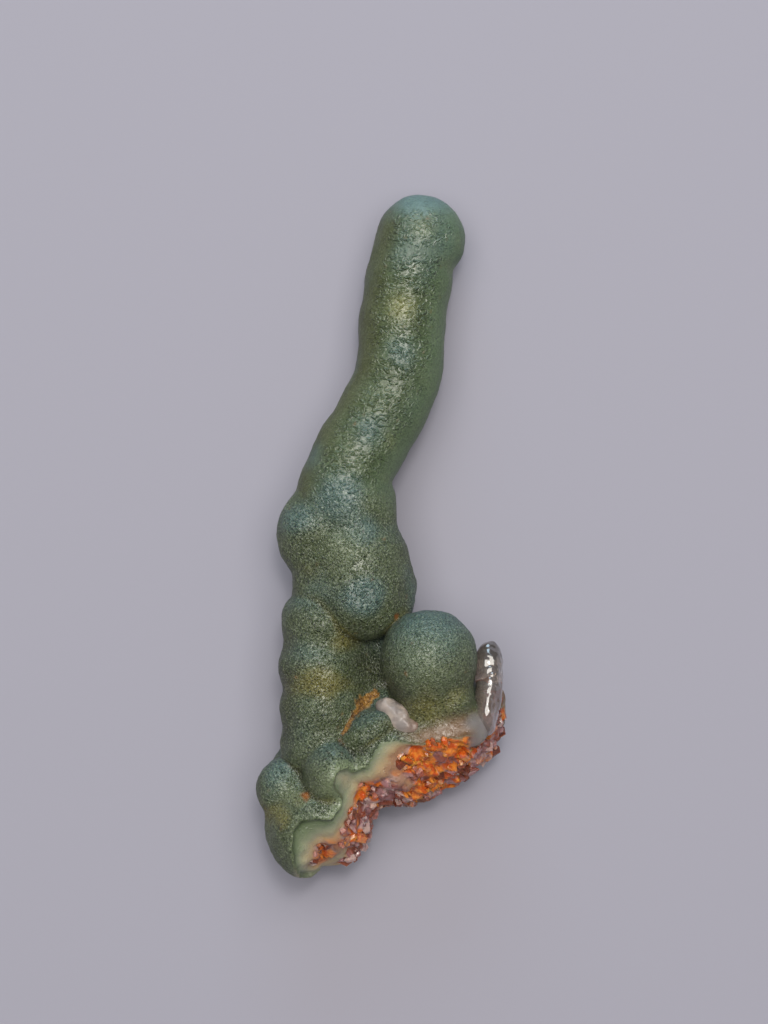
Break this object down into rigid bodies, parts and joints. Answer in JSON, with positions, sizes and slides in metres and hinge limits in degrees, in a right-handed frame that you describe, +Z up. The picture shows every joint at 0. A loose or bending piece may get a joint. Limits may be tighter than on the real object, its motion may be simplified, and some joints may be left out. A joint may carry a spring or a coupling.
{
  "type": "botryoidal chalcedony specimen",
  "caption": "Loose natural stone: a green round-ended chalcedony finger on a cluster of lobes, with a broken iron-stained quartz root.",
  "frame": {"origin": "bottom centre of the stone's box, on the surface it lies on", "axes": "+Y along the finger from the broken root to the round tip, +X to the right as seen from above, +Z up"},
  "size_m": [0.017, 0.0458, 0.0103],
  "materials": {
    "green_chalcedony": "satin",
    "stained_quartz": "satin",
    "milky_quartz": "gloss",
    "clear_bead": "gloss"
  },
  "bodies": {
    "root": {"chalcedony": "green_chalcedony"}
  },
  "joints": []
}
